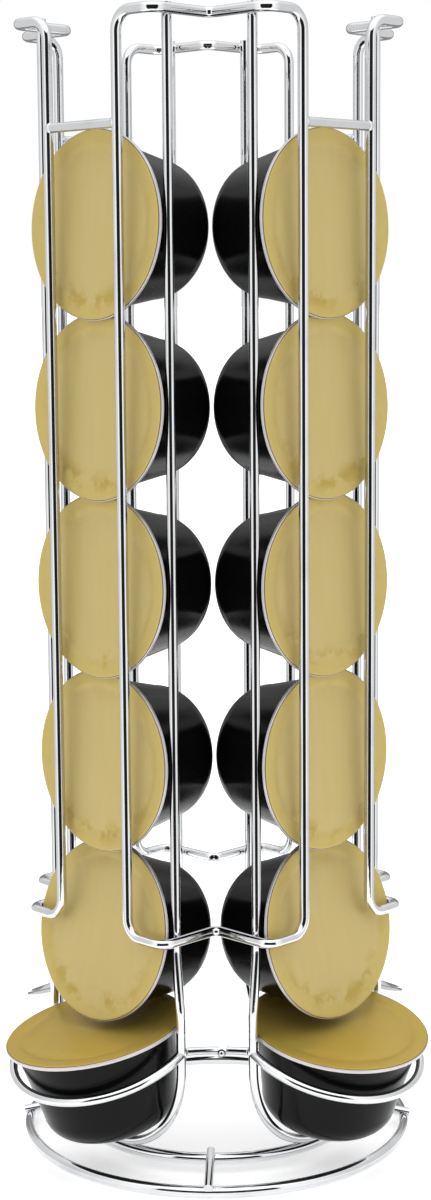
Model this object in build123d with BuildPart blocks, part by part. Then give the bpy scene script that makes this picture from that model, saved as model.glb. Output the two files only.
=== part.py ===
"""Coffee capsule dispenser: a free-standing chrome wire tower with four capsule columns.

Millimetres, +Z up. The origin is on the table under the tower's axis, -Y is the front.
The four columns stand on the diagonals, and the four side frames face front, right, rear and left.
In a column's own frame, "reach" is the distance from the tower's axis outward along the diagonal,
and "offset" is the distance to either side of that diagonal.
"""

from math import acos, cos, degrees, hypot, radians, sin, sqrt, tan
import os

from build123d import *

os.makedirs("parts", exist_ok=True)

# Capsule: black cup with a rim, filled with ground coffee and closed by a foil lid
neck_radius = 24.5
rim_width = 2.5
rim_thickness = 1.2
rim_round = 0.35
cup_depth = 30.7
cup_base_radius = 20.3
cup_base_round = 8.0
cup_wall = 0.8
lid_thickness = 0.2
lid_margin = 0.35
lid_mouth_gap = 0.15
lid_panel_drop = 0.35
lid_panel_slope = 0.8
coffee_gap = 0.2
coffee_headspace = 1.5

# Wires of the rack
frame_wire = 3.0
hairpin_wire = 2.8
crossbar_wire = 2.8
loop_wire = 2.8
strut_wire = 2.7
ring_wire = 3.5
wire_end_round = 0.35

# Clearances
rest_gap = 0.3
rim_side_gap = 0.4
rim_back_gap = 1.8
rim_front_gap = 2.3
first_front_gap = 1.3
column_gap = 0.97
weld_set = 1.0

# Column layout
post_offset = 14.4
stack_lean = 2.5
first_lean = 11.0
capsules_in_stack = 5

# Heights of the rack
frame_bottom_rise = 1.3
frame_headroom = 30.5
leg_tip = 2.0
crossbar_drop = 30.1
tower_ring_lift = 3.35

# Bends of the wires, on their centre lines
frame_corner_bend = 5.5
frame_bulge_bend = 4.0
frame_vee_bend = 3.0
leg_spread = 1.7
leg_spread_start = 17.0
leg_spread_length = 18.0
leg_spread_bend = 30.0

# Cradle at the foot of each column
cradle_drop = 3.8613
cradle_tilt = 20.2
cradle_centre_reach = 5.3
cradle_end_gap = 0.4
rested_tilt = 11.0
rested_turn_left = -25.0
rested_turn_right = -8.0
rested_forward = 4.2
rested_margin = 0.7

# Base rings and the struts between them
ring_spacing = 16.4
strut_turn = -2.8
strut_inner_overlap = 0.8

# Worked out: the capsule's outline
rim_radius = neck_radius + rim_width
mouth_radius = neck_radius - cup_wall
shoulder_depth = cup_depth - cup_base_round
shoulder_circle = cup_base_radius - cup_base_round
cup_taper = (neck_radius - cup_base_radius) / (shoulder_depth - rim_thickness)

# Worked out: the wires' places in a column. The stacked cups of neighbouring columns point at the
# tower's axis, and their rounded bases nearly meet there.
diagonal = sqrt(2)
stack_reach = shoulder_depth + shoulder_circle + (cup_base_round + column_gap / 2) * diagonal
rested_reach = stack_reach + rested_forward
frame_r = frame_wire / 2
hairpin_r = hairpin_wire / 2
ring_r = ring_wire / 2
post_reach = stack_reach + rim_front_gap + frame_r
arm_offset = rim_radius + rim_side_gap + frame_r
leg_reach = stack_reach - rim_thickness - rim_back_gap - hairpin_r
leg_offset = arm_offset - frame_r - hairpin_r
low_leg_offset = leg_offset + leg_spread

# Worked out: the base
foot_ring_height = ring_r
tower_ring_radius = leg_reach
foot_ring_radius = tower_ring_radius + ring_spacing
tower_ring_height = foot_ring_height + tower_ring_lift
hairpin_bottom = tower_ring_height + ring_r + hairpin_r - weld_set
arc_centre = hairpin_bottom + low_leg_offset

# Worked out: where the capsules lie. The resting one lies in the cradle, wedged on the hairpin's
# half circle. The first of the stack leans back, its base's round on the resting lid and its face
# near the frames' lower ends. The others stand on edge, each neck on the rim below it.
tilt = radians(rested_tilt)
first = radians(first_lean)
lean = radians(stack_lean)
wedge_drop = sqrt((low_leg_offset - hairpin_r - rest_gap - cup_base_round) ** 2 - shoulder_circle**2)
wedge_reach = rested_reach - shoulder_depth * sin(tilt)
rested_height = (
    arc_centre
    - wedge_drop
    + shoulder_depth * cos(tilt)
    - (wedge_reach - leg_reach) * tan(tilt)
    + rested_margin
)
cradle_height = rested_height - cradle_drop
first_reach = (
    post_reach
    + frame_bottom_rise * tan(first)
    - (frame_r + first_front_gap + lid_thickness) / cos(first)
)
first_lift = (
    shoulder_depth * sin(first + tilt)
    + shoulder_circle * cos(first + tilt)
    + cup_base_round
    + lid_thickness
    + rest_gap
)
first_height = rested_height + (first_lift + (rested_reach - first_reach) * sin(tilt)) / cos(tilt)
rim_set_back = stack_reach - first_reach + rim_radius * sin(first)
second_height = (
    first_height
    + rim_radius * cos(first)
    + rest_gap
    + (neck_radius - (rim_set_back - rim_thickness) * cup_taper) * cos(lean)
    + rim_set_back * sin(lean)
)
stack_pitch = (rim_radius + neck_radius) * cos(lean) + rest_gap
stack_top = second_height + (capsules_in_stack - 2) * stack_pitch + rim_radius

# Worked out: the heights of the side frames, the legs and the crossbars
frame_bottom_height = first_height + frame_bottom_rise
frame_top_height = stack_top + frame_headroom
frame_middle = (frame_bottom_height + frame_top_height) / 2
leg_top = frame_top_height + leg_tip
crossbar_height = frame_top_height - crossbar_drop

# Directions round the tower, anticlockwise from above. The side frames start at +X and the columns
# half a quarter turn after it, so the front of the tower faces -Y.
quarter_turn = 90
FRAMES = ("right", "rear", "left", "front")
COLUMNS = ("rear_right", "rear_left", "front_left", "front_right")
STOCKED = {"front_left": rested_turn_left, "front_right": rested_turn_right}


def save(part, name):
    """Label one finished piece and write its STEP file."""
    part.label = name
    export_step(part, f"parts/{name}.step")


def turned(part, angle):
    """A copy of a piece turned about the tower's axis."""
    return part.moved(Location((0, 0, 0), (0, 0, angle)))


def column_angle(column):
    """Direction of a column from the tower's axis."""
    return (COLUMNS.index(column) + 1 / 2) * quarter_turn


def start_plane(line):
    """The plane square to a wire's centre line at its start."""
    return Plane(origin=line @ 0, z_dir=line % 0)


# Side frame: one closed wire loop. Its posts stand in front of two neighbouring columns, and its
# top and bottom run outward round each column's rim and meet in a vee between the columns. The
# columns' places are turned by 45 degrees into the frame's own out and side distances.
post_out = (post_reach + post_offset) / diagonal
post_side = (post_reach - post_offset) / diagonal
bulge_out = (post_reach + arm_offset) / diagonal
bulge_side = (post_reach - arm_offset) / diagonal
vee_out = arm_offset * diagonal

with BuildPart() as side_frame:
    with BuildLine() as hoop:
        FilletPolyline(
            (post_out, -post_side, frame_middle),
            (post_out, -post_side, frame_top_height),
            (bulge_out, -bulge_side, frame_top_height),
            (vee_out, 0, frame_top_height),
            (bulge_out, bulge_side, frame_top_height),
            (post_out, post_side, frame_top_height),
            (post_out, post_side, frame_middle),
            radius=[frame_corner_bend, frame_bulge_bend, frame_vee_bend, frame_bulge_bend,
                    frame_corner_bend],
        )
    with BuildSketch(start_plane(hoop.wire())):
        Circle(frame_r)
    sweep(path=hoop.wire())
    mirror(about=Plane.XY.offset(frame_middle))

for quarter, side in enumerate(FRAMES):
    save(turned(side_frame.part, quarter * quarter_turn), f"frame_{side}")

# Base: the foot ring on the table and the tower ring just inside and above it
with BuildPart() as foot_ring:
    with BuildSketch(Plane.XZ):
        with Locations((foot_ring_radius, foot_ring_height)):
            Circle(ring_r)
    revolve(axis=Axis.Z)
save(foot_ring.part, "foot_ring")

with BuildPart() as tower_ring:
    with BuildSketch(Plane.XZ):
        with Locations((tower_ring_radius, tower_ring_height)):
            Circle(ring_r)
    revolve(axis=Axis.Z)
save(tower_ring.part, "tower_ring")

# Base strut: a cut length of wire pressed and welded onto both rings, with a saddle over each
strut_rise = ring_r + strut_wire / 2 - weld_set
strut_outer = foot_ring_radius + ring_r
strut_inner = tower_ring_radius - strut_inner_overlap
strut_slope = tower_ring_lift / (foot_ring_radius - tower_ring_radius)


def strut_height(radius):
    """Height of a strut's centre line at a distance from the tower's axis."""
    return foot_ring_height + strut_rise + (foot_ring_radius - radius) * strut_slope


with BuildPart() as strut:
    with BuildLine() as strut_line:
        Line(
            (strut_inner, 0, strut_height(strut_inner)),
            (strut_outer, 0, strut_height(strut_outer)),
        )
    with BuildSketch(start_plane(strut_line.wire())):
        Circle(strut_wire / 2)
    sweep(path=strut_line.wire())
    fillet(strut.edges().filter_by(GeomType.CIRCLE), wire_end_round)
    add(foot_ring.part, mode=Mode.SUBTRACT)
    add(tower_ring.part, mode=Mode.SUBTRACT)

for quarter, side in enumerate(FRAMES):
    save(turned(strut.part, quarter * quarter_turn + strut_turn), f"strut_{side}")

# Column hairpin: two long legs behind the rims, spread a little at the foot to let the resting
# capsule's rim in, and joined by a half circle that stands on the tower ring
with BuildPart() as hairpin:
    with BuildLine(Plane(origin=(leg_reach, 0, 0), x_dir=(0, 1, 0), z_dir=(1, 0, 0))) as half_pin:
        arc = CenterArc((0, arc_centre), low_leg_offset, -90, 90)
        FilletPolyline(
            arc @ 1,
            (low_leg_offset, arc_centre + leg_spread_start),
            (leg_offset, arc_centre + leg_spread_start + leg_spread_length),
            (leg_offset, leg_top),
            radius=leg_spread_bend,
        )
    with BuildSketch(start_plane(half_pin.wire())):
        Circle(hairpin_r)
    sweep(path=half_pin.wire())
    fillet(hairpin.edges().filter_by(GeomType.CIRCLE).sort_by(Axis.Z)[-1], wire_end_round)
    mirror(about=Plane.XZ)
    add(tower_ring.part, mode=Mode.SUBTRACT)

for column in COLUMNS:
    save(turned(hairpin.part, column_angle(column)), f"hairpin_{column}")

# Crossbar: a short straight wire between the two posts in front of a column, coped to them
with BuildPart() as crossbar:
    with BuildSketch(Plane.XZ):
        with Locations((post_reach, crossbar_height)):
            Circle(crossbar_wire / 2)
    extrude(amount=post_offset, both=True)
    with BuildSketch(Plane.XY.offset(crossbar_height)):
        with Locations((post_reach, -post_offset), (post_reach, post_offset)):
            Circle(frame_r)
    extrude(amount=crossbar_wire, both=True, mode=Mode.SUBTRACT)

for column in COLUMNS:
    save(turned(crossbar.part, column_angle(column)), f"crossbar_{column}")

# Cradle loop: a horseshoe tilted down and outward round the resting capsule, coped to both legs
loop_radius = hypot(low_leg_offset, cradle_centre_reach)
loop_half_angle = degrees(acos(-cradle_centre_reach / loop_radius) - cradle_end_gap / loop_radius)
cradle_plane = Plane(
    origin=(leg_reach, 0, cradle_height),
    x_dir=(cos(radians(cradle_tilt)), 0, -sin(radians(cradle_tilt))),
    z_dir=(sin(radians(cradle_tilt)), 0, cos(radians(cradle_tilt))),
)

with BuildPart() as cradle:
    with BuildLine(cradle_plane) as horseshoe:
        CenterArc((cradle_centre_reach, 0), loop_radius, -loop_half_angle, 2 * loop_half_angle)
    with BuildSketch(start_plane(horseshoe.wire())):
        Circle(loop_wire / 2)
    sweep(path=horseshoe.wire())
    add(hairpin.part, mode=Mode.SUBTRACT)

for column in COLUMNS:
    save(turned(cradle.part, column_angle(column)), f"cradle_{column}")

# Capsule cup: the rim's top face is at Z 0 and the cup hangs below it
with BuildPart() as cup:
    with BuildSketch(Plane.XZ) as cup_outline:
        with BuildLine():
            Polyline(
                (mouth_radius, 0),
                (rim_radius, 0),
                (rim_radius, -rim_thickness),
                (neck_radius, -rim_thickness),
                (cup_base_radius, -shoulder_depth),
            )
            shoulder = RadiusArc(
                (cup_base_radius, -shoulder_depth),
                (shoulder_circle, -cup_depth),
                cup_base_round,
            )
            Polyline(
                shoulder @ 1,
                (0, -cup_depth),
                (0, -(cup_depth - cup_wall)),
                (shoulder_circle, -(cup_depth - cup_wall)),
            )
            RadiusArc(
                (cup_base_radius - cup_wall, -shoulder_depth),
                (shoulder_circle, -(cup_depth - cup_wall)),
                cup_base_round - cup_wall,
            )
            Polyline(
                (cup_base_radius - cup_wall, -shoulder_depth),
                (mouth_radius, 0),
            )
        make_face()
        fillet(cup_outline.vertices().sort_by(Axis.X)[-2:], rim_round)
    revolve(axis=Axis.Z)

# Coffee: the ground coffee that fills the cup to just under the lid
coffee_inset = cup_wall + coffee_gap
coffee_taper = (neck_radius - cup_base_radius) / shoulder_depth
coffee_top_radius = neck_radius - coffee_inset - coffee_headspace * coffee_taper

with BuildPart() as coffee:
    with BuildSketch(Plane.XZ):
        with BuildLine():
            Polyline(
                (cup_base_radius - coffee_inset, -shoulder_depth),
                (coffee_top_radius, -coffee_headspace),
                (0, -coffee_headspace),
                (0, -(cup_depth - coffee_inset)),
                (shoulder_circle, -(cup_depth - coffee_inset)),
            )
            RadiusArc(
                (cup_base_radius - coffee_inset, -shoulder_depth),
                (shoulder_circle, -(cup_depth - coffee_inset)),
                cup_base_round - coffee_inset,
            )
        make_face()
    revolve(axis=Axis.Z)

# Foil lid: a flat seal on the rim and a panel drawn a little way into the mouth
lid_radius = rim_radius - lid_margin
panel_edge = mouth_radius - lid_mouth_gap
panel_radius = panel_edge - lid_panel_slope

with BuildPart() as lid:
    with BuildSketch(Plane.XZ):
        with BuildLine():
            Polyline(
                (0, -lid_panel_drop),
                (panel_radius, -lid_panel_drop),
                (panel_edge, 0),
                (lid_radius, 0),
                (lid_radius, lid_thickness),
                (panel_edge, lid_thickness),
                (panel_radius, lid_thickness - lid_panel_drop),
                (0, lid_thickness - lid_panel_drop),
                close=True,
            )
        make_face()
    revolve(axis=Axis.Z)


def seat(angle, reach, height, tip, turn):
    """Plane of a capsule's rim: its normal leans out from upright by tip, turned about Z by turn."""
    place = Location((0, 0, 0), (0, 0, angle)) * Location((reach, 0, height))
    return place * Location((0, 0, 0), (0, 0, turn)) * Location((0, 0, 0), (0, tip, 0))


for column, rested_turn in STOCKED.items():
    angle = column_angle(column)
    seats = [
        seat(angle, rested_reach, rested_height, rested_tilt, rested_turn),
        seat(angle, first_reach, first_height, quarter_turn - first_lean, 0),
    ]
    for level in range(capsules_in_stack - 1):
        height = second_height + level * stack_pitch
        seats.append(seat(angle, stack_reach, height, quarter_turn - stack_lean, 0))
    for number, place in enumerate(seats):
        save(cup.part.moved(place), f"cup_{column}_{number}")
        save(coffee.part.moved(place), f"coffee_{column}_{number}")
        save(lid.part.moved(place), f"lid_{column}_{number}")

print(f"rims' heights: resting {rested_height:.2f}, first {first_height:.2f}, {second_height:.2f}")
print(f"first reach {first_reach:.2f}, frames {frame_bottom_height:.2f} to {frame_top_height:.2f}")
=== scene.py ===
"""Looks of the coffee capsule dispenser: chrome wires, glossy black cups and gold foil lids.

Metres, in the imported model's own frame: +Z up, -Y the front, the origin on the table under the tower.
Every shown piece follows a node of that model and rides on the node's body.
"""

from __future__ import annotations

import logging
import math
from dataclasses import dataclass, field
from enum import Enum
from typing import Any, Iterable, Sequence

import bpy
import numpy as np
from mathutils import Matrix, Vector

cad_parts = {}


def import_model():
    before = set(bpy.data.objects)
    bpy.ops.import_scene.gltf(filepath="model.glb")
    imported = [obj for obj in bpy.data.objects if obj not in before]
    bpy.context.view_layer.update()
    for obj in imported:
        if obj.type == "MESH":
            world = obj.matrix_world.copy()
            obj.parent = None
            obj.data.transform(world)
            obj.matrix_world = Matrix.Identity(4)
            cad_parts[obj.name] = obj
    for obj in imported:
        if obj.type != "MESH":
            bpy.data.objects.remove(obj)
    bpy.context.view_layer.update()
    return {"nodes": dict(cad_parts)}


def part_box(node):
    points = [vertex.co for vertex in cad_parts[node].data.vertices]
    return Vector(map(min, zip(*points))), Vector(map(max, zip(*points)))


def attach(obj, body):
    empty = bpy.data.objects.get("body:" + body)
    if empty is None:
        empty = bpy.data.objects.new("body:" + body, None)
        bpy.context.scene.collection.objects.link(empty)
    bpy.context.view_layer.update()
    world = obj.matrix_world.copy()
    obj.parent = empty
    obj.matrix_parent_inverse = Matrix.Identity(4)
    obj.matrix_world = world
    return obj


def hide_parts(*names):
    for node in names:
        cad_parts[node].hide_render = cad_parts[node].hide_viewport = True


LOG = logging.getLogger("capsule_dispenser")
MM = 0.001
ON_AXIS = 1e-7
Colour = tuple[float, float, float]
Point = tuple[float, float, float]
# A place and a size or share there
Spot = tuple[Point, float]
# Distance from a capsule's axis and height
Outline = list[tuple[float, float]]
# Where a smooth step is 0 and where it is 1
Edge = tuple[float, float]


class Side(Enum):
    """The four faces of the tower, by their turn from +X in degrees."""

    RIGHT = 0
    REAR = 90
    LEFT = 180
    FRONT = 270


class Column(Enum):
    """The four capsule columns on the diagonals, by their turn from +X in degrees."""

    REAR_RIGHT = 45
    REAR_LEFT = 135
    FRONT_LEFT = 225
    FRONT_RIGHT = 315


class Num:
    """A shader value that Python's own signs work on; each sign adds a Math node."""

    def __init__(self, graph: "Graph", socket: bpy.types.NodeSocket) -> None:
        """Wrap one output socket of a graph."""
        self.graph = graph
        self.socket = socket

    def _math(self, operation: str, *values: Any) -> "Num":
        """Add a Math node over the given values and wrap its result."""
        made = self.graph.node("ShaderNodeMath", {"operation": operation}, dict(enumerate(values)))
        return Num(self.graph, made.outputs[0])

    def __add__(self, other: Any) -> "Num":
        """Sum."""
        return self._math("ADD", self, other)

    def __sub__(self, other: Any) -> "Num":
        """Difference."""
        return self._math("SUBTRACT", self, other)

    def __rsub__(self, other: Any) -> "Num":
        """Difference with the value on the right."""
        return self._math("SUBTRACT", other, self)

    def __mul__(self, other: Any) -> "Num":
        """Product."""
        return self._math("MULTIPLY", self, other)

    __radd__ = __add__
    __rmul__ = __mul__

    def __abs__(self) -> "Num":
        """Size without its sign."""
        return self._math("ABSOLUTE", self)

    def atan2(self, other: Any) -> "Num":
        """Angle whose tangent is this value over the other."""
        return self._math("ARCTAN2", self, other)

    def asin(self) -> "Num":
        """Angle whose sine is this value."""
        return self._math("ARCSINE", self)

    def rise(self, low: float, high: float) -> "Num":
        """Smooth step from 0 at low to 1 at high, falling where low is above high.

        Args:
            low: The value where the step is 0.
            high: The value where the step is 1.

        Returns:
            The step as a value from 0 to 1.
        """
        falls = low > high
        made = self.graph.node(
            "ShaderNodeMapRange",
            {"interpolation_type": "SMOOTHSTEP"},
            {"Value": self, "From Min": min(low, high), "From Max": max(low, high)},
        )
        step = Num(self.graph, made.outputs["Result"])
        return 1 - step if falls else step


class Graph:
    """A node tree with one way to add a node, and the groups of nodes that finishes share."""

    def __init__(self, tree: bpy.types.NodeTree) -> None:
        """Take a tree and empty it."""
        self.tree = tree
        tree.nodes.clear()

    def node(
        self,
        kind: str,
        settings: dict[str, Any] | None = None,
        inputs: dict[str | int, Any] | None = None,
    ) -> bpy.types.Node:
        """Add one node.

        Args:
            kind: The node's type.
            settings: Its properties, set first.
            inputs: Values, or things to link, by socket name or number.

        Returns:
            The new node.
        """
        made = self.tree.nodes.new(kind)
        for key, value in (settings or {}).items():
            setattr(made, key, value)
        for key, value in (inputs or {}).items():
            self._feed(made.inputs[key], value)
        return made

    def _feed(self, socket: bpy.types.NodeSocket, value: Any) -> None:
        """Link a value to a socket, or set it as the socket's own.

        Args:
            socket: The socket.
            value: A plain value, a Num, a node or another socket.
        """
        if isinstance(value, Num):
            value = value.socket
        if isinstance(value, bpy.types.Node):
            value = next(out for out in value.outputs if out.enabled)
        if isinstance(value, bpy.types.NodeSocket):
            self.tree.links.new(value, socket)
        elif socket.type == "RGBA":
            socket.default_value = (*value, 1)
        else:
            socket.default_value = value

    def value(self, node: bpy.types.Node, output: str | int = 0) -> Num:
        """Wrap a node's output as a value."""
        return Num(self, node.outputs[output])

    def carried(self, name: str) -> Num:
        """A value that the mesh's points carry."""
        return self.value(self.node("ShaderNodeAttribute", {"attribute_name": name}), "Fac")

    def mix(self, share: Any, first: Any, second: Any) -> bpy.types.NodeSocket:
        """Mix two colours by a share.

        Args:
            share: 0 gives the first colour and 1 the second.
            first: A colour or a link.
            second: A colour or a link.

        Returns:
            The mixed colour's socket.
        """
        made = self.node("ShaderNodeMix", {"data_type": "RGBA"}, {0: share, 6: first, 7: second})
        return made.outputs[2]

    def place(self) -> bpy.types.NodeSocket:
        """The Object coordinates of the piece."""
        return self.node("ShaderNodeTexCoord").outputs["Object"]

    def noise(self, vector: Any, scale: float, detail: float, rough: float = 0.5) -> Num:
        """A noise value from 0 to 1.

        Args:
            vector: The coordinates that it reads.
            scale: Its lumps per metre, or per unit of the coordinates.
            detail: Its octaves.
            rough: How much the finer octaves count.

        Returns:
            The noise.
        """
        return self.value(self.node("ShaderNodeTexNoise", {"noise_dimensions": "3D"}, {
            "Vector": vector, "Scale": scale, "Detail": detail, "Roughness": rough,
        }))

    def bump(
        self, height: Num, depth: float, strength: float = 1.0, under: Any = None
    ) -> bpy.types.NodeSocket:
        """A normal from a height.

        Args:
            height: The height, from 0 to 1.
            depth: The metres that a height of 1 stands for.
            strength: How much of it shows.
            under: A coarser normal that it lies on, if any.

        Returns:
            The normal's socket.
        """
        inputs = {"Strength": strength, "Distance": depth, "Height": height}
        if under is not None:
            inputs["Normal"] = under
        return self.node("ShaderNodeBump", {}, inputs).outputs[0]

    def surface(self, sockets: dict[str, Any]) -> None:
        """Add the surface shader, with values or links for its sockets by name, and the output."""
        made = self.node("ShaderNodeBsdfPrincipled", {}, sockets)
        self.node("ShaderNodeOutputMaterial", {}, {"Surface": made})


class Finish:
    """A finish that becomes one Blender material, made when it is first asked for."""

    name = "finish"
    slot = ""

    def material(self) -> bpy.types.Material:
        """Find the finish's material, or make it.

        Returns:
            The material.
        """
        found = bpy.data.materials.get(self.name)
        if found is None:
            found = bpy.data.materials.new(self.name)
            found.use_nodes = True
            self.dress(Graph(found.node_tree))
        return found

    def dress(self, graph: Graph) -> None:
        """Fill the material's node tree."""
        raise NotImplementedError


@dataclass(frozen=True)
class ChromePlate(Finish):
    """Bright chrome plating over drawn steel wire, with faint haze and waviness."""

    name: str = "chrome_plate"
    slot: str = "chrome_wire"
    colour: Colour = (0.755, 0.765, 0.78)
    haze_colour: Colour = (0.66, 0.67, 0.69)
    polish: float = 0.045
    haze: float = 0.05
    cloud_scale: float = 60.0
    cloud_edge: Edge = (0.45, 0.75)
    haze_edge: Edge = (0.4, 0.8)
    wave_scale: float = 220.0
    wave_depth: float = 0.05 * MM
    wave_strength: float = 0.35

    def dress(self, graph: Graph) -> None:
        """Fill the material's node tree.

        Args:
            graph: The material's graph.
        """
        place = graph.place()
        cloud = graph.noise(place, self.cloud_scale, detail=3)
        wave = graph.noise(place, self.wave_scale, detail=1)
        graph.surface({
            "Base Color": graph.mix(cloud.rise(*self.cloud_edge), self.colour, self.haze_colour),
            "Metallic": 1.0,
            "Roughness": self.polish + self.haze * cloud.rise(*self.haze_edge),
            "Normal": graph.bump(wave, self.wave_depth, self.wave_strength),
        })


@dataclass(frozen=True)
class CupPlastic(Finish):
    """Black semi-gloss plastic of the cups, with a pale bare edge on the rim."""

    name: str = "cup_plastic"
    slot: str = "black_cup"
    colour: Colour = (0.002, 0.0022, 0.0028)
    worn_colour: Colour = (0.004, 0.004, 0.0045)
    edge_colour: Colour = (0.64, 0.60, 0.60)
    edge_metal: float = 0.45
    gloss: float = 0.16
    cloud_dulling: float = 0.08
    edge_dulling: float = 0.1
    sheen_level: float = 0.14
    cloud_scale: float = 45.0
    grain_scale: float = 2600.0
    grain_depth: float = 0.02 * MM
    grain_strength: float = 0.25

    def dress(self, graph: Graph) -> None:
        """Fill the material's node tree.

        Args:
            graph: The material's graph.
        """
        place = graph.place()
        edge = graph.carried("edge")
        cloud = graph.noise(place, self.cloud_scale, detail=3)
        grain = graph.noise(place, self.grain_scale, detail=2)
        body = graph.mix(cloud, self.colour, self.worn_colour)
        graph.surface({
            "Base Color": graph.mix(edge, body, self.edge_colour),
            "Metallic": edge * self.edge_metal,
            "Specular IOR Level": self.sheen_level,
            "Roughness": self.gloss + cloud * self.cloud_dulling + edge * self.edge_dulling,
            "Normal": graph.bump(grain, self.grain_depth, self.grain_strength),
        })


@dataclass(frozen=True)
class GoldFoil(Finish):
    """Satin gold lacquered foil: soft streaks, fine mottling, a yellower seal and ochre stains by it.

    The pattern follows the lid's own map. The resting lids are glossier, and carry painted shade: the
    same foil is given a deeper, more saturated gold on them.
    """

    name: str = "lacquered_foil"
    slot: str = "gold_foil"
    colour: Colour = (0.545, 0.43, 0.163)
    streak_colour: Colour = (0.592, 0.472, 0.202)
    seal_colour: Colour = (0.565, 0.438, 0.13)
    stain_colour: Colour = (0.41, 0.27, 0.02)
    # painted shade: a deeper gold for the resting lids, which are the same foil as the stacked ones
    painted_rest_shade_colour: Colour = (0.53, 0.366, 0.055)
    seal_share: float = 0.6
    # how much of the painted shade gold the resting lids take
    painted_rest_shade_share: float = 0.85
    stain_share: float = 0.6
    rested_stain: float = -0.45
    metal: float = 0.38
    rested_metal: float = -0.06
    satin: float = 0.46
    streak_dulling: float = 0.08
    rested_dulling: float = -0.13
    sheen_level: float = 0.22
    streak_stretch: Point = (6.0, 0.8, 1.0)
    streak_scale: float = 2.0
    mottle_scale: float = 22.0
    mottle_depth: float = 0.05 * MM
    mottle_strength: float = 0.5
    crease_scale: float = 5.0
    crease_depth: float = 0.65 * MM
    crease_strength: float = 0.6
    stain_scale: float = 3.4
    stain_edge: Edge = (0.47, 0.6)
    low_edge: Edge = (0.1, 0.75)
    low_stain: float = 0.75
    even_stain: float = 0.2

    def dress(self, graph: Graph) -> None:
        """Fill the material's node tree.

        Args:
            graph: The material's graph.
        """
        uv = graph.node("ShaderNodeUVMap", {"uv_map": "foil"}).outputs[0]
        shift = graph.node("ShaderNodeCombineXYZ", {}, {"Z": graph.carried("seed")})
        spot = graph.node("ShaderNodeVectorMath", {"operation": "ADD"}, {0: uv, 1: shift}).outputs[0]
        drawn = graph.node("ShaderNodeMapping", {}, {"Vector": spot, "Scale": self.streak_stretch})
        rest, seal, border = (graph.carried(name) for name in ("rested", "seal", "border"))
        streak = graph.noise(drawn, self.streak_scale, detail=3)
        mottle = graph.noise(spot, self.mottle_scale, detail=3, rough=0.6)
        crease = graph.noise(spot, self.crease_scale, detail=2, rough=0.55)
        blot = graph.noise(spot, self.stain_scale, detail=4, rough=0.6).rise(*self.stain_edge)
        up = graph.value(graph.node("ShaderNodeSeparateXYZ", {}, {0: uv}), "Y")
        low = (0 - up).rise(*self.low_edge)
        stain = blot * border * (low * self.low_stain + self.even_stain)
        base = graph.mix(streak, self.colour, self.streak_colour)
        base = graph.mix(seal * self.seal_share, base, self.seal_colour)
        # painted shade: the resting lids' foil is mixed towards a deeper gold
        base = graph.mix(rest * self.painted_rest_shade_share, base, self.painted_rest_shade_colour)
        base = graph.mix(stain * (rest * self.rested_stain + self.stain_share), base, self.stain_colour)
        dents = graph.bump(crease * border, self.crease_depth, self.crease_strength)
        fine = graph.bump(mottle, self.mottle_depth, self.mottle_strength, dents)
        graph.surface({
            "Base Color": base,
            "Metallic": rest * self.rested_metal + self.metal,
            "Specular IOR Level": self.sheen_level,
            "Roughness": streak * self.streak_dulling + self.satin + rest * self.rested_dulling,
            "Normal": fine,
        })


@dataclass(frozen=True)
class GroundCoffee(Finish):
    """Dark brown ground coffee, coarse and dull."""

    name: str = "coffee_grounds"
    slot: str = "ground_coffee"
    colour: Colour = (0.035, 0.014, 0.006)
    pale_colour: Colour = (0.09, 0.042, 0.02)
    dullness: float = 0.9
    grain_scale: float = 1400.0
    grain_edge: Edge = (0.35, 0.7)
    grain_depth: float = 0.4 * MM

    def dress(self, graph: Graph) -> None:
        """Fill the material's node tree.

        Args:
            graph: The material's graph.
        """
        grain = graph.noise(graph.place(), self.grain_scale, detail=3, rough=0.7)
        graph.surface({
            "Base Color": graph.mix(grain.rise(*self.grain_edge), self.colour, self.pale_colour),
            "Roughness": self.dullness,
            "Normal": graph.bump(grain, self.grain_depth),
        })


class ShapeTree:
    """Geometry Nodes that make a piece from a simple mesh, with named inputs for its sizes."""

    name = "shape"
    sizes: dict[str, str] = {}

    def __init__(self) -> None:
        """Build the tree once, ending in Realize Instances and Set Material."""
        self.tree = bpy.data.node_groups.new(self.name, "GeometryNodeTree")
        sockets = self.tree.interface
        kinds = {"Start": "Geometry", **self.sizes, "Finish": "Material"}
        self.keys = {
            label: sockets.new_socket(label, in_out="INPUT", socket_type=f"NodeSocket{kind}").identifier
            for label, kind in kinds.items()
        }
        sockets.new_socket("Shape", in_out="OUTPUT", socket_type="NodeSocketGeometry")
        graph = Graph(self.tree)
        given = graph.node("NodeGroupInput")
        whole = graph.node("GeometryNodeRealizeInstances", {}, {"Geometry": self.shape(graph, given)})
        dressed = graph.node("GeometryNodeSetMaterial", {}, {
            "Geometry": whole, "Material": given.outputs["Finish"],
        })
        graph.node("NodeGroupOutput", {}, {"Shape": dressed})

    def shape(self, graph: Graph, given: bpy.types.Node) -> bpy.types.Node:
        """Add the nodes that make the shape.

        Args:
            graph: The tree's graph.
            given: The node that holds the tree's inputs.

        Returns:
            The last node.
        """
        raise NotImplementedError

    def carried(self, graph: Graph, name: str) -> bpy.types.NodeSocket:
        """A named value of the starting mesh's points."""
        made = graph.node("GeometryNodeInputNamedAttribute", {"data_type": "FLOAT"}, {"Name": name})
        return made.outputs["Attribute"]

    def run(self, piece: bpy.types.Object, values: dict[str, Any]) -> None:
        """Run the tree on a piece and keep the result as its plain mesh.

        Args:
            piece: The object, which carries the starting mesh.
            values: The tree's inputs by name.
        """
        modifier = piece.modifiers.new(self.name, "NODES")
        modifier.node_group = self.tree
        for label, value in values.items():
            modifier[self.keys[label]] = value
        bpy.context.view_layer.update()
        graph = bpy.context.evaluated_depsgraph_get()
        mesh = bpy.data.meshes.new_from_object(piece.evaluated_get(graph))
        mesh.name = piece.name
        piece.modifiers.clear()
        piece.data = mesh


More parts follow.
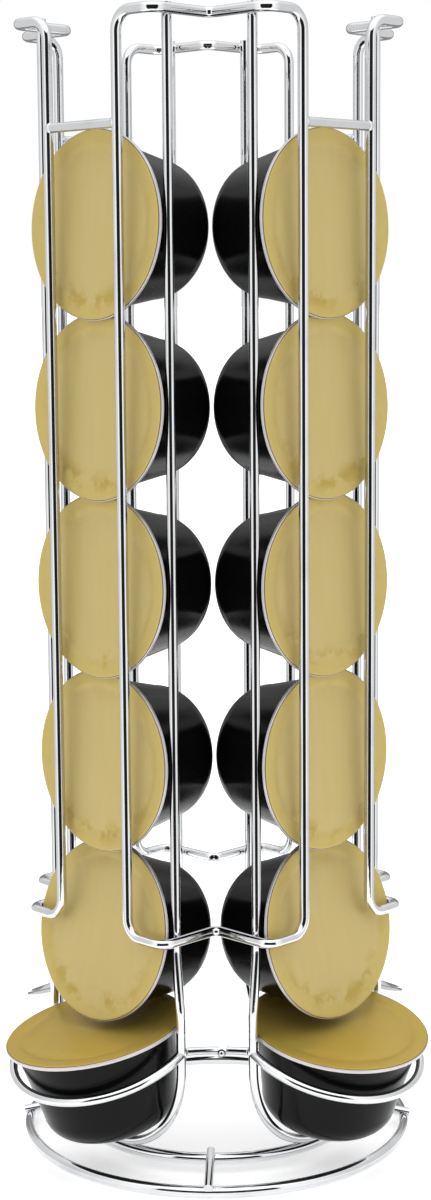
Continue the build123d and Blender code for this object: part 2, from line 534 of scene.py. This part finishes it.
class WireTree(ShapeTree):
    """A round wire along a path, with a rounded bend at each corner.

    Edges where the faces turn by less than smooth_below degrees are shaded smooth.
    """

    name = "drawn_wire"
    sizes = {"Wire Radius": "Float", "Bend Steps": "Int", "Round Steps": "Int"}
    smooth_below = 35.0

    def shape(self, graph: Graph, given: bpy.types.Node) -> bpy.types.Node:
        """Bend the path, draw the wire along it and shade it smooth.

        Args:
            graph: The tree's graph.
            given: The node that holds the tree's inputs.

        Returns:
            The last node.
        """
        line = graph.node("GeometryNodeMeshToCurve", {}, {"Mesh": given.outputs["Start"]})
        sized = graph.node("GeometryNodeSetCurveRadius", {}, {
            "Curve": line, "Radius": self.carried(graph, "girth"),
        })
        bent = graph.node("GeometryNodeFilletCurve", {"mode": "POLY"}, {
            "Curve": sized, "Count": given.outputs["Bend Steps"], "Radius": self.carried(graph, "bend"),
        })
        section = graph.node("GeometryNodeCurvePrimitiveCircle", {"mode": "RADIUS"}, {
            "Resolution": given.outputs["Round Steps"], "Radius": given.outputs["Wire Radius"],
        })
        solid = graph.node("GeometryNodeCurveToMesh", {}, {
            "Curve": bent, "Profile Curve": section, "Fill Caps": True,
        })
        angle = graph.node("GeometryNodeInputMeshEdgeAngle").outputs["Unsigned Angle"]
        soft = graph.node("FunctionNodeCompare", {"data_type": "FLOAT", "operation": "LESS_THAN"}, {
            0: angle, 1: math.radians(self.smooth_below),
        })
        return graph.node("GeometryNodeSetShadeSmooth", {"domain": "EDGE"}, {
            "Geometry": solid, "Shade Smooth": soft,
        })


class BeadTree(ShapeTree):
    """A small, slightly uneven weld bead on each point of a mesh.

    The unevenness has lump_scale lumps per metre.
    """

    name = "weld_beads"
    sizes = {"Bead Rounds": "Int", "Unevenness": "Float"}
    lump_scale = 900.0

    def shape(self, graph: Graph, given: bpy.types.Node) -> bpy.types.Node:
        """Set a ball on each point and push its surface in and out a little.

        Args:
            graph: The tree's graph.
            given: The node that holds the tree's inputs.

        Returns:
            The last node.
        """
        ball = graph.node("GeometryNodeMeshIcoSphere", {}, {
            "Radius": 1.0, "Subdivisions": given.outputs["Bead Rounds"],
        })
        set_out = graph.node("GeometryNodeInstanceOnPoints", {}, {
            "Points": given.outputs["Start"], "Instance": ball, "Scale": self.carried(graph, "size"),
        })
        whole = graph.node("GeometryNodeRealizeInstances", {}, {"Geometry": set_out})
        lumps = graph.node("ShaderNodeTexNoise", {"noise_dimensions": "3D"}, {
            "Scale": self.lump_scale, "Detail": 1.0,
        })
        push = (graph.value(lumps) - 0.5) * graph.value(given, "Unevenness")
        reach = graph.node("ShaderNodeVectorMath", {"operation": "SCALE"}, {
            0: graph.node("GeometryNodeInputNormal"), "Scale": push,
        })
        uneven = graph.node("GeometryNodeSetPosition", {}, {"Geometry": whole, "Offset": reach})
        return graph.node("GeometryNodeSetShadeSmooth", {}, {"Geometry": uneven})


@dataclass
class Path:
    """A wire's centre line: its points, the bend radius and the girth share at each."""

    points: list[Point] = field(default_factory=list)
    bends: list[float] = field(default_factory=list)
    girths: list[float] = field(default_factory=list)
    closed: bool = False

    def add(self, point: Sequence[float], bend: float = 0.0, girth: float = 1.0) -> None:
        """Add one point.

        Args:
            point: Its place.
            bend: The bend radius at it.
            girth: Its share of the wire's radius.
        """
        self.points.append(tuple(point))
        self.bends.append(bend)
        self.girths.append(girth)

    def mesh(self, name: str) -> bpy.types.Mesh:
        """The path as a mesh of edges with its values on the points.

        Args:
            name: The mesh's name.

        Returns:
            The mesh.
        """
        count = len(self.points)
        edges = [(i, i + 1) for i in range(count - 1)]
        if self.closed:
            edges.append((count - 1, 0))
        mesh = bpy.data.meshes.new(name)
        mesh.from_pydata(self.points, edges, [])
        mark(mesh, "bend", self.bends)
        mark(mesh, "girth", self.girths)
        return mesh


def mark(mesh: bpy.types.Mesh, name: str, values: Sequence[float]) -> None:
    """Give every point of a mesh a named value."""
    mesh.attributes.new(name, "FLOAT", "POINT").data.foreach_set("value", values)


def new_piece(name: str, mesh: bpy.types.Mesh) -> bpy.types.Object:
    """Link a mesh to the scene as an object at the origin.

    Args:
        name: The object's name.
        mesh: Its mesh.

    Returns:
        The object.
    """
    piece = bpy.data.objects.new(name, mesh)
    bpy.context.scene.collection.objects.link(piece)
    return piece


def turned(points: Iterable[Sequence[float]], angle: float) -> list[Point]:
    """Points turned about the tower's axis.

    Args:
        points: The points.
        angle: The turn in degrees.

    Returns:
        The turned points.
    """
    spin = Matrix.Rotation(math.radians(angle), 3, "Z")
    return [tuple(spin @ Vector(point)) for point in points]


def shares(count: int) -> list[float]:
    """Even shares, from one part of count up to 1."""
    return [step / count for step in range(1, count + 1)]


@dataclass(frozen=True)
class BeadShares:
    """The weld beads' sizes and insets, as shares of the radius of the wire that they sit on."""

    crossbar: float = 1.08
    crossbar_inset: float = 0.62
    cradle: float = 1.12
    cradle_inset: float = 0.5
    leg: float = 0.72
    tower_ring: float = 1.02
    strut: float = 1.04


@dataclass
class Rack:
    """The welded chrome rack: side frames, hairpins, crossbars, cradles, struts and rings.

    In a column, reach is measured outward along the diagonal and offset to either side of it.
    A cut end's profile gives places inward from its face, in shares of end_round, with the girth
    share at each. A crossbar's end is set into the post by crossbar_set of the post's radius.
    """

    frame_radius: float = 1.5 * MM
    hairpin_radius: float = 1.4 * MM
    crossbar_radius: float = 1.4 * MM
    loop_radius: float = 1.4 * MM
    strut_radius: float = 1.35 * MM
    ring_radius: float = 1.75 * MM
    post_reach: float = 50.8 * MM
    post_offset: float = 14.4 * MM
    arm_offset: float = 28.9 * MM
    leg_reach: float = 42.6 * MM
    leg_offset: float = 26.0 * MM
    leg_spread: float = 1.7 * MM
    leg_spread_start: float = 17.0 * MM
    leg_spread_length: float = 18.0 * MM
    leg_spread_bend: float = 30.0 * MM
    leg_tip: float = 2.0 * MM
    frame_bottom: float = 74.82 * MM
    frame_top: float = 337.16 * MM
    crossbar_height: float = 307.06 * MM
    crossbar_set: float = 0.9
    corner_bend: float = 5.5 * MM
    bulge_bend: float = 4.0 * MM
    vee_bend: float = 3.0 * MM
    hairpin_bottom: float = 7.25 * MM
    cradle_height: float = 40.1 * MM
    cradle_tilt: float = 20.2
    cradle_centre: float = 5.3 * MM
    cradle_end_gap: float = 0.4 * MM
    foot_ring_reach: float = 59.0 * MM
    tower_ring_lift: float = 3.35 * MM
    strut_turn: float = -2.8
    strut_inner_overlap: float = 0.8 * MM
    weld_set: float = 1.0 * MM
    end_round: float = 0.35 * MM
    end_profile: tuple[tuple[float, float], ...] = ((0.0, 0.72), (0.3, 0.92), (1.0, 1.0))
    fit: float = 0.7 * MM
    bend_steps: int = 12
    round_steps: int = 32
    arc_steps: int = 48
    ring_steps: int = 160
    body: str = "rack"
    finish: ChromePlate = field(default_factory=ChromePlate)
    wires: WireTree = field(default_factory=WireTree)
    beads: BeadTree = field(default_factory=BeadTree)
    bead_shares: BeadShares = field(default_factory=BeadShares)
    bead_rounds: int = 3
    bead_unevenness: float = 0.3 * MM

    @property
    def low_leg_offset(self) -> float:
        """Offset of the hairpin's legs below their spread."""
        return self.leg_offset + self.leg_spread

    @property
    def arc_centre(self) -> float:
        """Height of the centre of the hairpin's half circle."""
        return self.hairpin_bottom + self.low_leg_offset

    def draw(self, node: str, path: Path, radius: float, angle: float = 0) -> None:
        """Draw one wire and put it in a node's place.

        Args:
            node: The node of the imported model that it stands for.
            path: The wire's centre line.
            radius: The wire's radius.
            angle: The turn about the tower's axis, in degrees.
        """
        path.points = turned(path.points, angle)
        name = f"wire_{node}"
        piece = new_piece(name, path.mesh(name))
        self.wires.run(piece, {
            "Wire Radius": radius,
            "Bend Steps": self.bend_steps,
            "Round Steps": self.round_steps,
            "Finish": self.finish.material(),
        })
        self.compare(piece, node)
        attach(piece, self.body)
        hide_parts(node)

    def compare(self, piece: bpy.types.Object, node: str) -> None:
        """Stop if a wire isn't where its node is.

        Args:
            piece: The drawn wire.
            node: The node that it stands for.
        """
        low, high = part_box(node)
        co = np.array([v.co for v in piece.data.vertices])
        off = max(np.abs(co.min(0) - np.array(low)).max(), np.abs(co.max(0) - np.array(high)).max())
        LOG.info("%s lies within %.3f mm of %s", piece.name, off / MM, node)
        if off > self.fit:
            raise ValueError(f"{piece.name} is {off / MM:.2f} mm off {node}")

    def cut_end(self, face: Sequence[float], inward: Sequence[float]) -> list[Spot]:
        """The slightly rounded cut end of a wire.

        Args:
            face: The middle of its end face.
            inward: The direction into the wire, of length 1.

        Returns:
            Points from the face inward, each with its girth share.
        """
        step = Vector(inward) * self.end_round
        return [(tuple(Vector(face) + step * share), girth) for share, girth in self.end_profile]

    def start_cut(self, path: Path, face: Sequence[float], inward: Sequence[float]) -> None:
        """Start a path with a cut end."""
        for place, girth in self.cut_end(face, inward):
            path.add(place, girth=girth)

    def end_cut(self, path: Path, face: Sequence[float], inward: Sequence[float]) -> None:
        """End a path with a cut end."""
        for place, girth in reversed(self.cut_end(face, inward)):
            path.add(place, girth=girth)

    def side_frame(self, side: Side) -> None:
        """Draw one side frame: a closed loop bent round the rims and into a vee.

        Args:
            side: The side of the tower.
        """
        out = (self.post_reach + self.post_offset) / math.sqrt(2)
        wide = (self.post_reach - self.post_offset) / math.sqrt(2)
        bulge_out = (self.post_reach + self.arm_offset) / math.sqrt(2)
        bulge_wide = (self.post_reach - self.arm_offset) / math.sqrt(2)
        vee_out = self.arm_offset * math.sqrt(2)
        path = Path(closed=True)
        for height, way in ((self.frame_top, 1), (self.frame_bottom, -1)):
            path.add((out, -way * wide, height), self.corner_bend)
            path.add((bulge_out, -way * bulge_wide, height), self.bulge_bend)
            path.add((vee_out, 0, height), self.vee_bend)
            path.add((bulge_out, way * bulge_wide, height), self.bulge_bend)
            path.add((out, way * wide, height), self.corner_bend)
        self.draw(f"frame_{side.name.lower()}", path, self.frame_radius, side.value)

    def hairpin(self, column: Column) -> None:
        """Draw one hairpin: two legs and the half circle between them.

        Args:
            column: Its column.
        """
        low = self.low_leg_offset
        start = self.arc_centre + self.leg_spread_start
        top = self.frame_top + self.leg_tip
        reach = self.leg_reach
        down = (0, 0, -1)
        path = Path()
        self.start_cut(path, (reach, -self.leg_offset, top), down)
        path.add((reach, -self.leg_offset, start + self.leg_spread_length), self.leg_spread_bend)
        path.add((reach, -low, start), self.leg_spread_bend)
        for step in range(self.arc_steps + 1):
            angle = math.pi * step / self.arc_steps
            path.add((reach, -low * math.cos(angle), self.arc_centre - low * math.sin(angle)))
        path.add((reach, low, start), self.leg_spread_bend)
        path.add((reach, self.leg_offset, start + self.leg_spread_length), self.leg_spread_bend)
        self.end_cut(path, (reach, self.leg_offset, top), down)
        self.draw(f"hairpin_{column.name.lower()}", path, self.hairpin_radius, column.value)

    def crossbar(self, column: Column) -> None:
        """Draw the short bar between a column's two posts.

        Args:
            column: The column.
        """
        end = self.post_offset - self.frame_radius * self.crossbar_set
        path = Path()
        for way in (-1, 1):
            path.add((self.post_reach, way * end, self.crossbar_height))
        self.draw(f"crossbar_{column.name.lower()}", path, self.crossbar_radius, column.value)

    def cradle(self, column: Column) -> None:
        """Draw the tilted horseshoe that holds a column's resting capsule.

        Args:
            column: The column.
        """
        radius = math.hypot(self.low_leg_offset, self.cradle_centre)
        half = math.acos(-self.cradle_centre / radius) - self.cradle_end_gap / radius
        tilt = math.radians(self.cradle_tilt)
        path = Path()
        for step in range(self.arc_steps + 1):
            angle = half * (2 * step / self.arc_steps - 1)
            along = self.cradle_centre + radius * math.cos(angle)
            path.add((
                self.leg_reach + along * math.cos(tilt),
                radius * math.sin(angle),
                self.cradle_height - along * math.sin(tilt),
            ))
        self.draw(f"cradle_{column.name.lower()}", path, self.loop_radius, column.value)

    def ring(self, node: str, reach: float, height: float) -> None:
        """Draw one base ring.

        Args:
            node: The ring's node.
            reach: The radius of its centre line.
            height: The height of its centre line.
        """
        path = Path(closed=True)
        for step in range(self.ring_steps):
            angle = 2 * math.pi * step / self.ring_steps
            path.add((reach * math.cos(angle), reach * math.sin(angle), height))
        self.draw(node, path, self.ring_radius)

    def strut(self, side: Side) -> None:
        """Draw one strut welded over both rings.

        Args:
            side: The side that it points to.
        """
        rise = self.ring_radius + self.strut_radius - self.weld_set
        slope = self.tower_ring_lift / (self.foot_ring_reach - self.leg_reach)
        reaches = (self.leg_reach - self.strut_inner_overlap, self.foot_ring_reach + self.ring_radius)
        inner, outer = (
            Vector((reach, 0, self.ring_radius + rise + (self.foot_ring_reach - reach) * slope))
            for reach in reaches
        )
        outward = (outer - inner).normalized()
        path = Path()
        self.start_cut(path, inner, outward)
        self.end_cut(path, outer, -outward)
        angle = side.value + self.strut_turn
        self.draw(f"strut_{side.name.lower()}", path, self.strut_radius, angle)

    def column_welds(self) -> list[Spot]:
        """Where a column's wires are welded, before its turn, and each bead's radius.

        Returns:
            The spots of one column.
        """
        share = self.bead_shares
        tilt = math.radians(self.cradle_tilt)
        inset = self.hairpin_radius * share.cradle_inset
        cradle_reach = self.leg_reach - inset * math.cos(tilt)
        cradle_height = self.cradle_height + inset * math.sin(tilt)
        post = self.post_offset - self.frame_radius * share.crossbar_inset
        leg = self.leg_offset + self.hairpin_radius
        spots: list[Spot] = []
        for way in (-1, 1):
            bar = (self.post_reach, way * post, self.crossbar_height)
            loop = (cradle_reach, way * self.low_leg_offset, cradle_height)
            spots.append((bar, self.frame_radius * share.crossbar))
            spots.append((loop, self.loop_radius * share.cradle))
            for height in (self.frame_bottom, self.frame_top):
                spots.append(((self.leg_reach, way * leg, height), self.frame_radius * share.leg))
        ring_top = 2 * self.ring_radius + self.tower_ring_lift
        spots.append(((self.leg_reach, 0, ring_top), self.hairpin_radius * share.tower_ring))
        return spots

    def side_welds(self) -> list[Spot]:
        """Where a side's strut is welded to the rings, before its turn, and each bead's radius.

        Returns:
            The spots of one side.
        """
        top = 2 * self.ring_radius
        size = self.strut_radius * self.bead_shares.strut
        return [
            ((self.foot_ring_reach, 0, top), size),
            ((self.leg_reach, 0, top + self.tower_ring_lift), size),
        ]

    def weld_spots(self) -> list[Spot]:
        """Where the wires are welded together, and how large each bead is.

        Returns:
            All the spots.
        """
        groups = [(self.column_welds(), column.value) for column in Column]
        groups += [(self.side_welds(), side.value + self.strut_turn) for side in Side]
        spots: list[Spot] = []
        for group, angle in groups:
            places = turned([place for place, _ in group], angle)
            spots += [(place, size) for place, (_, size) in zip(places, group)]
        return spots

    def weld(self) -> None:
        """Set the weld beads where the wires meet."""
        spots = self.weld_spots()
        mesh = bpy.data.meshes.new("weld_beads")
        mesh.from_pydata([place for place, _ in spots], [], [])
        mark(mesh, "size", [size for _, size in spots])
        piece = new_piece("weld_beads", mesh)
        self.beads.run(piece, {
            "Bead Rounds": self.bead_rounds,
            "Unevenness": self.bead_unevenness,
            "Finish": self.finish.material(),
        })
        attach(piece, self.body)
        LOG.info("%d weld beads ride on %s", len(spots), self.body)

    def build(self) -> None:
        """Draw every wire of the rack."""
        for side in Side:
            self.side_frame(side)
            self.strut(side)
        for column in Column:
            self.hairpin(column)
            self.crossbar(column)
            self.cradle(column)
        self.ring("foot_ring", self.foot_ring_reach, self.ring_radius)
        self.ring("tower_ring", self.leg_reach, self.ring_radius + self.tower_ring_lift)
        self.weld()


@dataclass
class Seat:
    """Where one capsule lies: its rim's top face, with its normal pointing out of the lid."""

    matrix: Matrix
    body: str

    @classmethod
    def of(cls, nodes: dict[str, bpy.types.Object], label: str, lid_thickness: float) -> "Seat":
        """Read a capsule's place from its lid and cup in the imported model.

        Args:
            nodes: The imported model's nodes.
            label: The capsule's name without its kind, such as front_left_2.
            lid_thickness: The foil's thickness over the rim.

        Returns:
            The seat.
        """
        lid = np.array([v.co for v in nodes[f"lid_{label}"].data.vertices])
        cup = np.array([v.co for v in nodes[f"cup_{label}"].data.vertices])
        middle = lid.mean(0)
        axis = np.linalg.svd(lid - middle, full_matrices=False)[2][2]
        if axis @ (middle - cup.mean(0)) < 0:
            axis = -axis
        middle = middle + axis * (((lid - middle) @ axis).max() - lid_thickness)
        normal = Vector(axis)
        up = (Vector((0, 0, 1)) - normal * normal.z).normalized()
        spin = Matrix((up.cross(normal), up, normal)).transposed()
        return cls(Matrix.Translation(Vector(middle)) @ spin.to_4x4(), f"capsule_{label}")


@dataclass
class Capsule:
    """One capsule: the cup with its rim, the foil lid and the coffee inside.

    Fields that end in rows or steps count the rows of faces of that part of a profile. The pale
    share is the outer share of the rim's round that is bare, and the border is the band of creases
    and stains beside the lid's step.
    """

    seat: Seat
    label: str
    number: int
    rim_radius: float = 27.0 * MM
    rim_thickness: float = 1.2 * MM
    rim_round: float = 0.35 * MM
    neck_radius: float = 24.5 * MM
    cup_depth: float = 30.7 * MM
    base_radius: float = 20.3 * MM
    base_round: float = 8.0 * MM
    cup_wall: float = 0.8 * MM
    lid_thickness: float = 0.2 * MM
    lid_margin: float = 0.35 * MM
    panel_drop: float = 0.35 * MM
    panel_slope: float = 0.8 * MM
    step_width: float = 2.4 * MM
    crown: float = 0.12 * MM
    fold_in: float = 0.05 * MM
    fold_down: float = 0.06 * MM
    mouth_gap: float = 0.15 * MM
    mouth_ease: float = 0.1 * MM
    pale_share: float = 0.5
    border_inset: float = 1.2 * MM
    border_width: float = 2.8 * MM
    seed_step: float = 3.7
    inside_steps: int = 10
    rim_steps: int = 5
    neck_steps: int = 4
    outside_steps: int = 14
    panel_rows: int = 40
    step_rows: int = 8
    seal_rows: int = 5
    turn_steps: int = 128
    cup_finish: CupPlastic = field(default_factory=CupPlastic)
    foil_finish: GoldFoil = field(default_factory=GoldFoil)
    coffee_finish: GroundCoffee = field(default_factory=GroundCoffee)

    def arc(
        self, centre: Sequence[float], radius: float, start: float, end: float, steps: int
    ) -> Outline:
        """Points of an arc in a profile.

        Args:
            centre: The arc's centre, as distance from the axis and height.
            radius: Its radius.
            start: Its first angle in degrees.
            end: Its last angle in degrees.
            steps: Its number of runs.

        Returns:
            The points.
        """
        angles = [math.radians(start + (end - start) * step / steps) for step in range(steps + 1)]
        return [(centre[0] + radius * math.cos(a), centre[1] + radius * math.sin(a)) for a in angles]

    def turn(self, name: str, profile: Outline) -> bpy.types.Object:
        """Turn a profile into a solid about its axis.

        Args:
            name: The piece's name.
            profile: Its outline, from pole to pole.

        Returns:
            The piece, smooth, with the rim's top face at height 0.
        """
        angles = np.linspace(0, 2 * np.pi, self.turn_steps, endpoint=False)
        verts: list[Point] = []
        rows: list[list[int]] = []
        for radius, height in profile:
            if radius < ON_AXIS:
                rows.append([len(verts)])
                verts.append((0, 0, height))
            else:
                rows.append(list(range(len(verts), len(verts) + self.turn_steps)))
                verts.extend((radius * math.cos(a), radius * math.sin(a), height) for a in angles)
        faces = []
        for first, second in zip(rows, rows[1:]):
            for i in range(self.turn_steps):
                j = (i + 1) % self.turn_steps
                if len(first) == 1:
                    faces.append((first[0], second[i], second[j]))
                elif len(second) == 1:
                    faces.append((first[j], first[i], second[0]))
                else:
                    faces.append((first[j], first[i], second[i], second[j]))
        mesh = bpy.data.meshes.new(name)
        mesh.from_pydata(verts, [], faces)
        mesh.shade_smooth()
        return new_piece(name, mesh)

    def settle(self, piece: bpy.types.Object, node: str, finish: Finish) -> None:
        """Put a turned piece at the seat, dress it and let it stand for its node.

        Args:
            piece: The turned piece.
            node: The node that it stands for.
            finish: Its finish.
        """
        piece.data.transform(self.seat.matrix)
        piece.data.update()
        piece.data.materials.append(finish.material())
        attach(piece, self.seat.body)
        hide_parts(node)

    def cup(self) -> None:
        """Make the black cup with its rim and base."""
        mouth = self.neck_radius - self.cup_wall
        shoulder = self.cup_depth - self.base_round
        flat = self.base_radius - self.base_round
        edge = self.rim_round
        edge_reach = self.rim_radius - edge
        profile = [(0, self.cup_wall - self.cup_depth)]
        inside = self.base_round - self.cup_wall
        profile += self.arc((flat, -shoulder), inside, -90, 0, self.inside_steps)
        profile += [(mouth, -self.mouth_ease), (mouth + self.mouth_ease, 0)]
        profile += self.arc((edge_reach, -edge), edge, 90, 0, self.rim_steps)
        profile += self.arc((edge_reach, edge - self.rim_thickness), edge, 0, -90, self.rim_steps)
        neck = (self.neck_radius + edge, -self.rim_thickness - edge)
        profile += self.arc(neck, edge, 90, 180, self.neck_steps)
        profile += self.arc((flat, -shoulder), self.base_round, 0, -90, self.outside_steps)
        profile += [(0, -self.cup_depth)]
        piece = self.turn(f"cup_shell_{self.label}", profile)
        co = np.array([v.co for v in piece.data.vertices])
        far = np.hypot(co[:, 0], co[:, 1])
        mark(piece.data, "edge", (far > self.rim_radius - self.pale_share * edge).astype(float))
        self.settle(piece, f"cup_{self.label}", self.cup_finish)

    def lid_profile(self, step_start: float, panel_edge: float) -> Outline:
        """The lid's profile: a slightly crowned panel, a soft step and the sealed rim.

        Args:
            step_start: Where the step begins, as distance from the axis.
            panel_edge: Where it ends.

        Returns:
            The outline, from the lower pole to the upper one.
        """
        thick = self.lid_thickness
        floor = thick - self.panel_drop
        lid_edge = self.rim_radius - self.lid_margin
        seal_width = lid_edge - panel_edge
        top = [(0, floor + self.crown)]
        top += [(step_start * s, floor + self.crown * (1 - s * s)) for s in shares(self.panel_rows)]
        top += [
            (step_start + self.step_width * s, thick - self.panel_drop * (1 - s * s * (3 - 2 * s)))
            for s in shares(self.step_rows)
        ]
        top += [(panel_edge + seal_width * s, thick) for s in shares(self.seal_rows)[:-1]]
        top += [(lid_edge - self.fold_in, thick), (lid_edge, thick - self.fold_down), (lid_edge, 0)]
        panel = panel_edge - self.panel_slope
        below = [(panel_edge, 0), (panel, -self.panel_drop), (0, -self.panel_drop)]
        return list(reversed(top + below))

    def lid(self) -> None:
        """Make the foil lid, with its map and the values that its finish reads."""
        panel_edge = self.neck_radius - self.cup_wall - self.mouth_gap
        step_start = panel_edge - self.step_width
        border_middle = panel_edge - self.panel_slope - self.border_inset
        piece = self.turn(f"foil_lid_{self.label}", self.lid_profile(step_start, panel_edge))
        mesh = piece.data
        co = np.array([v.co for v in mesh.vertices])
        far = np.hypot(co[:, 0], co[:, 1])
        mark(mesh, "seal", np.clip((far - step_start) / self.step_width, 0, 1))
        mark(mesh, "border", np.exp(-(((far - border_middle) / self.border_width) ** 2)))
        mark(mesh, "seed", [self.seed_step * self.number] * len(co))
        mark(mesh, "rested", [float(self.label.endswith("_0"))] * len(co))
        corners = np.zeros(len(mesh.loops), np.int32)
        mesh.loops.foreach_get("vertex_index", corners)
        spread = co[corners][:, :2] / self.rim_radius
        mesh.uv_layers.new(name="foil").data.foreach_set("uv", spread.ravel())
        self.settle(piece, f"lid_{self.label}", self.foil_finish)

    def coffee(self, node: bpy.types.Object) -> None:
        """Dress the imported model's own coffee solid.

        Args:
            node: The coffee's object, which stays as it is.
        """
        node.data.materials.clear()
        node.data.materials.append(self.coffee_finish.material())

    def build(self, nodes: dict[str, bpy.types.Object]) -> None:
        """Make the capsule's pieces.

        Args:
            nodes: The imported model's nodes.
        """
        self.cup()
        self.lid()
        self.coffee(nodes[f"coffee_{self.label}"])
        LOG.info("capsule %s sits on %s", self.label, self.seat.body)


@dataclass(frozen=True)
class Studio:
    """The pale floor, the white surround and the camera at the photograph's place.

    Lengths are in metres and angles in degrees. The surround's strengths are told by azimuth from
    the front and by height above the horizon, and each edge says where its part fades in.
    """

    camera_side: float = -0.0039
    camera_distance: float = 0.6639
    camera_height: float = 0.2618
    pitch: float = 8.13
    yaw: float = 0.41
    roll: float = 0.43
    focal_length: float = 65.67
    sensor_width: float = 36.0
    near_floor: float = 0.29
    far_floor: float = 30.0
    floor_steps: int = 96
    floor_colour: Colour = (0.96, 0.96, 0.96)
    floor_lift: float = 0.42
    white: Colour = (1.0, 1.0, 1.0)
    surround: float = 0.80
    ceiling: float = 1.3
    ceiling_edge: Edge = (30.0, 60.0)
    flank: float = 0.42
    flank_edge: Edge = (95.0, 43.0)
    gap_shade: float = 0.985
    gap_side_edge: Edge = (37.0, 33.0)
    gap_top_edge: Edge = (38.0, 30.0)
    back_shade: float = 0.65
    back_side_edge: Edge = (139.0, 155.0)
    back_top_edge: Edge = (29.0, 19.0)

    def camera(self) -> None:
        """Place the camera."""
        pitch, yaw, roll = (math.radians(v) for v in (self.pitch, self.yaw, self.roll))
        level = math.cos(pitch)
        ahead = Vector((math.sin(yaw) * level, math.cos(yaw) * level, -math.sin(pitch)))
        right = ahead.cross(Vector((0, 0, 1))).normalized()
        down = ahead.cross(right)
        across = right * math.cos(roll) + down * math.sin(roll)
        up = across.cross(ahead)
        data = bpy.data.cameras.new("photo_camera")
        data.sensor_width = self.sensor_width
        data.lens = self.focal_length
        data.clip_start = 0.01
        data.clip_end = 100
        camera = bpy.data.objects.new("photo_camera", data)
        place = Matrix.Translation((self.camera_side, -self.camera_distance, self.camera_height))
        camera.matrix_world = place @ Matrix((across, up, -ahead)).transposed().to_4x4()
        bpy.context.scene.collection.objects.link(camera)
        bpy.context.scene.camera = camera

    def ring(self, radius: float) -> list[Point]:
        """Points of a circle on the floor."""
        turns = [2 * math.pi * step / self.floor_steps for step in range(self.floor_steps)]
        return [(radius * math.cos(turn), radius * math.sin(turn), 0.0) for turn in turns]

    def floor(self) -> None:
        """Lay the pale floor: a disc under the object and a wide ring that the wires don't mirror."""
        material = bpy.data.materials.new("pale_floor")
        material.use_nodes = True
        graph = Graph(material.node_tree)
        matt = graph.node("ShaderNodeBsdfDiffuse", {}, {"Color": self.floor_colour})
        glow = graph.node("ShaderNodeEmission", {}, {"Strength": self.floor_lift})
        both = graph.node("ShaderNodeAddShader", {}, {0: matt.outputs[0], 1: glow.outputs[0]})
        graph.node("ShaderNodeOutputMaterial", {}, {"Surface": both.outputs[0]})
        steps = self.floor_steps
        inner = self.ring(self.near_floor)
        disc = bpy.data.meshes.new("near_floor")
        disc.from_pydata(inner, [], [tuple(range(steps))])
        wide = bpy.data.meshes.new("far_floor")
        quads = [(i, i + steps, (i + 1) % steps + steps, (i + 1) % steps) for i in range(steps)]
        wide.from_pydata(inner + self.ring(self.far_floor), [], quads)
        for mesh in (disc, wide):
            mesh.materials.append(material)
            piece = new_piece(mesh.name, mesh)
            piece.visible_glossy = mesh is disc

    def light(self) -> None:
        """Surround the object with soft white.

        The ceiling is brighter, and so are the flanks beside a dark gap in front. A low wall behind
        is in shade. The camera sees plain white.
        """
        world = bpy.data.worlds.new("studio")
        bpy.context.scene.world = world
        world.use_nodes = True
        graph = Graph(world.node_tree)
        way = graph.node("ShaderNodeTexCoord").outputs["Generated"]
        parts = graph.node("ShaderNodeSeparateXYZ", {}, {0: way})
        x, y, z = (Num(graph, parts.outputs[i]) for i in range(3))
        azimuth = abs(x.atan2(0 - y)) * math.degrees(1)
        height = z.asin() * math.degrees(1)
        gap = azimuth.rise(*self.gap_side_edge) * height.rise(*self.gap_top_edge)
        back = azimuth.rise(*self.back_side_edge) * height.rise(*self.back_top_edge)
        level = self.surround + (self.ceiling - self.surround) * height.rise(*self.ceiling_edge)
        level = level + self.flank * azimuth.rise(*self.flank_edge)
        level = level * (1 - gap * self.gap_shade) * (1 - back * self.back_shade)
        seen = graph.node("ShaderNodeLightPath").outputs["Is Camera Ray"]
        soft = graph.node("ShaderNodeBackground", {}, {"Color": self.white, "Strength": level})
        white = graph.node("ShaderNodeBackground", {}, {"Color": self.white, "Strength": 1.0})
        both = graph.node("ShaderNodeMixShader", {}, {0: seen, 1: soft.outputs[0], 2: white.outputs[0]})
        graph.node("ShaderNodeOutputWorld", {}, {"Surface": both.outputs[0]})

    def build(self) -> None:
        """Set the stage."""
        self.camera()
        self.floor()
        self.light()
        bpy.context.scene.view_settings.view_transform = "Standard"


def main() -> None:
    """Build the dispenser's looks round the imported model."""
    logging.basicConfig(level=logging.INFO, format="%(name)s: %(message)s")
    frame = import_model()
    Studio().build()
    Rack().build()
    labels = sorted(name.removeprefix("cup_") for name in frame["nodes"] if name.startswith("cup_"))
    for number, label in enumerate(labels):
        seat = Seat.of(frame["nodes"], label, Capsule.lid_thickness)
        Capsule(seat, label, number).build(frame["nodes"])


if __name__ == "__main__":
    main()
